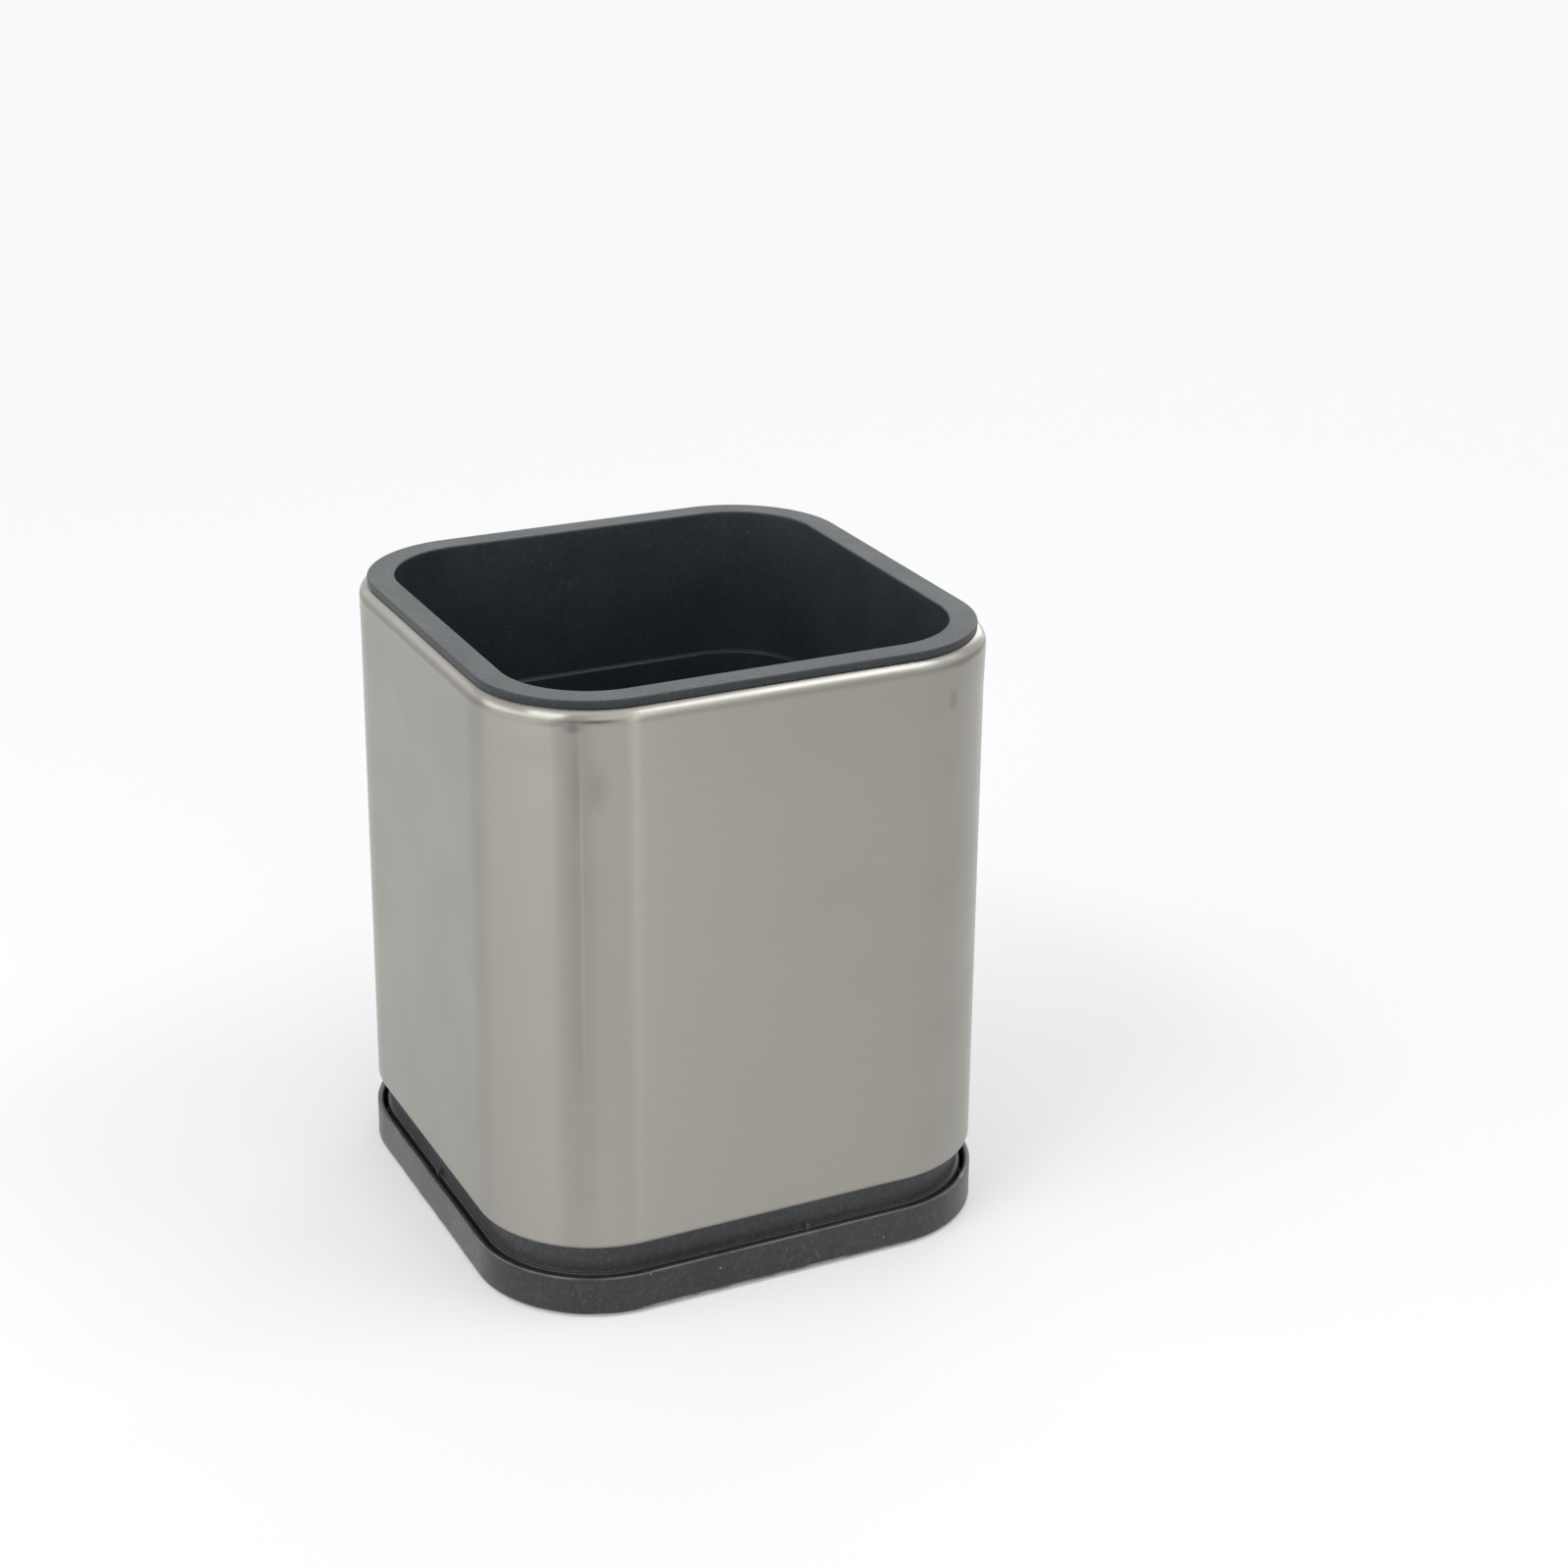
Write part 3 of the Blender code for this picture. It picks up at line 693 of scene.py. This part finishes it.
collarSet = {
    "setback": 2.3 * mm,
    "wall": 1.6 * mm,
    "band": 0.7 * mm,
    "bandHeight": 3.95 * mm,
    "footWidth": 6.4 * mm,
    "neckInset": 4.2 * mm,
    "neckHeight": 14.0 * mm,
    "edge": 0.2 * mm,
    "fineEdge": 0.1 * mm,
    "lugWidth": 10.0 * mm,
    "lugSpacing": 34.0 * mm,
    "lugHeight": 2.6 * mm,
    "lugReach": 0.8 * mm,
    "lugAboveShoulder": 1.2 * mm,
    "ribWidth": 0.6 * mm,
    "ribTop": 5.0 * mm,
    "ribBottom": 1.4 * mm,
    "ribInset": 1.07 * mm,
    "ribEdge": 0.12 * mm,
    # from the middle of the front, the right, the back and the left
    "ribOffsets": (6.8 * mm, 0, 6.8 * mm, 0),
    # the tray's lip leaves pale wear on the rib tips, and the same pale place is painted light on ribs that sit
    # in the steel's shadow: (inset, height), reach, amount
    "ribTipWearAndLight": ((1.1 * mm, 3.6 * mm), (1.2 * mm, 1.2 * mm, 2.6 * mm), 0.35),
    # the collar is moulded in the tray's plastic; its lighter colour is painted light, since it sits in the
    # steel's shadow
    "colour": (0.0365, 0.0374, 0.0400, 1),
    "cloudColour": (0.062, 0.063, 0.0675, 1),
    "wornAndLitColour": (0.12, 0.122, 0.128, 1),
    "roughness": 0.40,
    "specular": 0.25,
    "grainPerMetre": 5200.0,
    "wearAmount": 0.25,
    "scuffAmount": 0.25,
    "speckShare": 0.10,
}


def quarterTurn(side, size=4):
    return Matrix.Rotation(side * math.pi / 2, size, "Z")


def addLug(bm, middle, under, turn):
    # a wedge that the steel's turned-in edge snaps over
    s = collarSet
    neckFace = -halfWidth + s["neckInset"]
    verts = addBlock(bm, (middle - s["lugWidth"] / 2, neckFace - s["lugReach"], under),
                     (middle + s["lugWidth"] / 2, neckFace + s["wall"] / 2, under + s["lugHeight"]))
    for vert in verts:
        if vert.co.z > under + s["lugHeight"] / 2 and vert.co.y < neckFace:
            vert.co.y = neckFace
    bmesh.ops.transform(bm, matrix=turn, verts=verts)


def addRib(bm, offset, turn):
    s = collarSet
    low = (offset - s["ribWidth"] / 2, -halfWidth + s["ribInset"], collarLow.z + s["ribBottom"])
    high = (offset + s["ribWidth"] / 2, -halfWidth + s["setback"] + s["wall"] / 2, collarLow.z + s["ribTop"])
    bmesh.ops.transform(bm, matrix=turn, verts=addBlock(bm, low, high, s["ribEdge"]))


def makeCollar(material):
    s = collarSet
    low, neckTop = collarLow.z, collarHigh.z
    shoulder = neckTop - s["neckHeight"]
    setback, wall, neck, edge, fine = s["setback"], s["wall"], s["neckInset"], s["edge"], s["fineEdge"]
    bandInset = setback - s["band"]
    bandTop = low + s["bandHeight"]
    bm = carryRound(drawProfile([
        (bandInset, low, edge),
        (bandInset, bandTop, edge),
        (setback, bandTop, fine),
        (setback, shoulder, edge),
        (neck, shoulder, fine),
        (neck, neckTop, edge),
        (neck + wall, neckTop, edge),
        (neck + wall, shoulder - wall, 0),
        (setback + wall, shoulder - wall, 0),
        (setback + wall, low + wall, 0),
        (bandInset + s["footWidth"], low + wall, edge),
        (bandInset + s["footWidth"], low, edge),
    ], closed=True))
    for side, offset in enumerate(s["ribOffsets"]):
        for middle in (-s["lugSpacing"] / 2, s["lugSpacing"] / 2):
            addLug(bm, middle, shoulder + s["lugAboveShoulder"], quarterTurn(side))
        addRib(bm, offset, quarterTurn(side))
    finishPiece("baseCollar", bm, "holder", ["base_collar"], material)


# pale wear and painted light at the rib tips
def ribTipWearAndLights():
    (inset, height), reach, amount = collarSet["ribTipWearAndLight"]
    tips = [quarterTurn(side, 3) @ Vector((offset, -halfWidth + inset, 0))
            for side, offset in enumerate(collarSet["ribOffsets"])]
    return [((tip.x, tip.y, collarLow.z + height), reach, amount) for tip in tips]


makeCollar(mouldedPlastic("collarPlastic", collarSet, ribTipWearAndLights()))


# Drip tray

traySet = {
    "overhang": 0.43 * mm,
    "lip": 1.2 * mm,
    "skirt": 1.6 * mm,
    "recess": 1.6 * mm,
    "floor": 1.5 * mm,
    "fillet": 0.7 * mm,
    "lipEdge": 0.3 * mm,
    "lipInnerEdge": 0.62 * mm,
    "skirtEdge": 0.4 * mm,
    "socketGap": 0.3 * mm,
    "socketWall": 1.2 * mm,
    "socketDepth": 1.1 * mm,
    # how far a socket's wall runs up into the floor
    "socketRoot": 0.4 * mm,
    "socketSteps": 32,
    # the tray is moulded in the collar's plastic; its darker colour is painted shade against the light the
    # floor throws up on it
    "colour": (0.0100, 0.0105, 0.0120, 1),
    "cloudColour": (0.0330, 0.0335, 0.0360, 1),
    # at the full wear amount below, this pale colour along the lip's edge is partly real wear and partly a
    # painted highlight
    "wornAndLitColour": (0.24, 0.243, 0.25, 1),
    "roughness": 0.35,
    "specular": 0.5,
    "grainPerMetre": 5200.0,
    "wearAmount": 1.0,
    "scuffAmount": 0.24,
    "speckShare": 0.11,
}

footSet = {
    "diameter": 12.0 * mm,
    "edge": 0.4 * mm,
    "dish": 0.25 * mm,
    "dishDiameter": 7.5 * mm,
    "steps": 40,
    "colour": (0.012, 0.012, 0.0125, 1),
    "dustColour": (0.034, 0.033, 0.031, 1),
    "dustOnEdges": 0.8,
    "roughness": 0.72,
    "cloudSmoother": 0.05,
    "cloudRougher": 0.06,
    "grainPerMetre": 4200.0,
    "grainStrength": 0.4,
    "grainDepth": 0.03 * mm,
}

footNames = ["foot_front_left", "foot_front_right", "foot_back_left", "foot_back_right"]


def middleOf(node):
    low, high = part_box(node)
    return ((low.x + high.x) / 2, (low.y + high.y) / 2)


def makeTray(material):
    s = traySet
    low, top = trayLow.z, trayHigh.z
    over = s["overhang"]
    under = low + s["recess"]
    floorTop = under + s["floor"]
    bm = carryRound(drawProfile([
        (s["lip"] - over + 2 * s["fillet"], floorTop, 0),
        (s["lip"] - over, floorTop, s["fillet"]),
        (s["lip"] - over, top, s["lipInnerEdge"]),
        (-over, top, s["lipEdge"]),
        (-over, low, s["skirtEdge"]),
        (s["skirt"] - over, low, s["skirtEdge"]),
        (s["skirt"] - over, under, 0),
    ]))
    for height in (floorTop, under):
        bmesh.ops.edgenet_fill(bm, edges=openLoops(bm, height))
    pocket = footSet["diameter"] / 2 + s["socketGap"]
    socketLow, socketHigh = under - s["socketDepth"], under + s["socketRoot"]
    socket = [
        (pocket, socketLow),
        (pocket + s["socketWall"], socketLow),
        (pocket + s["socketWall"], socketHigh),
        (pocket, socketHigh),
    ]
    for node in footNames:
        spinProfile(bm, socket, middleOf(node), s["socketSteps"], closed=True)
    bmesh.ops.recalc_face_normals(bm, faces=bm.faces)
    finishPiece("dripTray", bm, "tray", ["drip_tray"], material)


makeTray(mouldedPlastic("trayPlastic", traySet))


# Rubber feet

def makeFoot(node, material):
    s = footSet
    low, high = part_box(node)
    radius, edge, dish, dishRadius = s["diameter"] / 2, s["edge"], s["dish"], s["dishDiameter"] / 2
    middle = meshSet["edgeMiddle"] * edge
    bm = bmesh.new()
    spinProfile(bm, [
        (0, low.z + dish),
        (dishRadius - dish, low.z + dish),
        (dishRadius, low.z),
        (radius - edge, low.z),
        (radius - middle, low.z + middle),
        (radius, low.z + edge),
        (radius, high.z - edge / 2),
        (radius - edge / 2, high.z),
        (0, high.z),
    ], middleOf(node), s["steps"])
    bmesh.ops.remove_doubles(bm, verts=bm.verts, dist=meshSet["mergeWithin"])
    bmesh.ops.recalc_face_normals(bm, faces=bm.faces)
    name = "rubberFoot." + node.removeprefix("foot_").replace("_", ".")
    finishPiece(name, bm, "tray", [node], material)


def footRubber():
    s = footSet
    material, tree, shader, coords = newMaterial("footRubber")
    moulded = useGroup(tree, mouldedGrain, Grain_Per_Metre=s["grainPerMetre"])
    wear = useGroup(tree, edgeWear, Reach=0.08, Patchiness=0.8, Patches_Per_Metre=300.0)["Mask"]
    dust = mathNode(tree, "MAXIMUM", rampNode(tree, moulded["Cloud"], 0.45, 0.75),
                    mathNode(tree, "MULTIPLY", wear, s["dustOnEdges"]))
    tree.links.new(mixColour(tree, dust, s["colour"], s["dustColour"]), shader.inputs["Base Color"])
    roughness = rampNode(tree, moulded["Cloud"], 0.3, 0.7, s["roughness"] - s["cloudSmoother"],
                         s["roughness"] + s["cloudRougher"])
    tree.links.new(roughness, shader.inputs["Roughness"])
    bump = addNode(tree, "ShaderNodeBump", Height=moulded["Height"], Strength=s["grainStrength"],
                   Distance=s["grainDepth"])
    tree.links.new(bump.outputs[0], shader.inputs["Normal"])
    return material


rubber = footRubber()
for footName in footNames:
    makeFoot(footName, rubber)


# Floor, light and camera

studioSet = {
    "floorSize": 14.0,
    "floorGap": 0.01 * mm,
    "floorColour": (0.88, 0.88, 0.88, 1),
    "floorRoughness": 0.9,
    "backdropColour": (0.955, 0.955, 0.955, 1),
    # from one distance to the other the floor turns into the plain backdrop, which already has these
    # shares near the object: the first for the camera, the second in mirrors
    "backdropFrom": 0.15,
    "backdropTo": 0.75,
    "backdropNear": 0.25,
    "mirroredNear": 0.65,
    "skyColour": (0.54, 0.545, 0.55, 1),
    "aimHeight": 0.06,
    # name: (azimuth, elevation, distance, width, height, brightness, colour), in degrees and metres
    "softboxes": {
        "overheadSoftbox": (40, 76, 1.3, 1.0, 1.0, 0.6, (1.0, 1.0, 1.0)),
        "leftSoftbox": (-88, 18, 1.4, 2.0, 0.8, 2.23, (0.985, 1.0, 1.0)),
        "frontStrip": (14.5, 12, 1.5, 0.18, 0.9, 3.5, (1.0, 0.99, 0.965)),
        "frontFill": (-8, 20, 1.5, 0.78, 0.9, 1.12, (1.0, 0.995, 0.98)),
        "rightRearStrip": (132, 22, 1.5, 0.5, 0.9, 1.8, (1.0, 1.0, 1.0)),
        "rearSoftbox": (157, 25, 1.6, 0.9, 0.55, 1.3, (0.96, 0.99, 1.0)),
        "backLeftSoftbox": (-156, 20, 1.4, 0.8, 0.4, 0.5, (0.97, 0.99, 1.0)),
        "highRightSoftbox": (55, 55, 1.3, 0.62, 0.30, 5.2, (0.93, 0.97, 1.0)),
        "rightSoftbox": (82, 40, 1.3, 0.4, 0.3, 1.6, (0.95, 0.98, 1.0)),
        "highLeftSoftbox": (-71, 54, 1.3, 0.62, 0.20, 7.6, (0.93, 0.97, 1.0)),
    },
}

cameraSet = {
    "place": (-214.569 * mm, -484.39 * mm, 298.134 * mm),
    # in degrees
    "turn": (70.199, -0.5598, -26.0844),
    # lens and sensor in millimetres
    "lens": 68.487,
    "sensor": 36,
    "shiftY": -0.0834,
}


def seenBy(tree):
    # camera rays, then mirror and glass rays
    path = tree.nodes.new("ShaderNodeLightPath").outputs
    return path["Is Camera Ray"], mathNode(tree, "MAXIMUM", path["Is Glossy Ray"], path["Is Transmission Ray"])


def makeFloor():
    s = studioSet
    bm = bmesh.new()
    bmesh.ops.create_grid(bm, x_segments=2, y_segments=2, size=s["floorSize"] / 2,
                          matrix=Matrix.Translation((0, 0, cadLow.z - s["floorGap"])))
    mesh = bpy.data.meshes.new("studioFloor")
    bm.to_mesh(mesh)
    bm.free()
    floor = bpy.data.objects.new("studioFloor", mesh)
    bpy.context.scene.collection.objects.link(floor)
    material, tree, shader, coords = newMaterial("studioFloor")
    shader.inputs["Base Color"].default_value = s["floorColour"]
    shader.inputs["Roughness"].default_value = s["floorRoughness"]
    shader.inputs["Specular IOR Level"].default_value = 0.0
    away = vectorNode(tree, "LENGTH", coords)["Value"]
    plain = [mathNode(tree, "MULTIPLY", seen, rampNode(tree, away, s["backdropFrom"], s["backdropTo"], near))
             for seen, near in zip(seenBy(tree), (s["backdropNear"], s["mirroredNear"]))]
    backdrop = addNode(tree, "ShaderNodeEmission", Color=s["backdropColour"])
    mix = tree.nodes.new("ShaderNodeMixShader")
    tree.links.new(mathNode(tree, "MAXIMUM", *plain), mix.inputs[0])
    tree.links.new(shader.outputs[0], mix.inputs[1])
    tree.links.new(backdrop.outputs[0], mix.inputs[2])
    tree.links.new(mix.outputs[0], tree.nodes["Material Output"].inputs["Surface"])
    mesh.materials.append(material)


def makeLights():
    # the camera and mirrors see the plain pale backdrop, and everything else the softer sky
    s = studioSet
    world = bpy.data.worlds.new("studio")
    bpy.context.scene.world = world
    world.use_nodes = True
    tree = world.node_tree
    background = tree.nodes["Background"]
    seen = mathNode(tree, "MAXIMUM", *seenBy(tree))
    tree.links.new(mixColour(tree, seen, s["skyColour"], s["backdropColour"]), background.inputs["Color"])
    middle = Vector((0, 0, s["aimHeight"]))
    for name, (azimuth, elevation, distance, width, height, brightness, colour) in s["softboxes"].items():
        lamp = bpy.data.lights.new(name, "AREA")
        lamp.shape = "RECTANGLE"
        lamp.size, lamp.size_y = width, height
        lamp.energy = brightness * math.pi * width * height
        lamp.color = colour
        softbox = bpy.data.objects.new(name, lamp)
        across, up = math.radians(azimuth), math.radians(elevation)
        way = Vector((math.sin(across) * math.cos(up), -math.cos(across) * math.cos(up), math.sin(up)))
        softbox.location = middle + way * distance
        softbox.rotation_euler = (-way).to_track_quat("-Z", "Y").to_euler()
        softbox.visible_camera = False
        bpy.context.scene.collection.objects.link(softbox)


def makeCamera():
    s = cameraSet
    data = bpy.data.cameras.new("photoCamera")
    data.sensor_width = s["sensor"]
    data.lens = s["lens"]
    data.shift_y = s["shiftY"]
    camera = bpy.data.objects.new("photoCamera", data)
    camera.location = s["place"]
    camera.rotation_euler = [math.radians(angle) for angle in s["turn"]]
    bpy.context.scene.collection.objects.link(camera)
    bpy.context.scene.camera = camera


makeFloor()
makeLights()
makeCamera()
bpy.context.scene.view_settings.view_transform = "Standard"
print("studio ready")
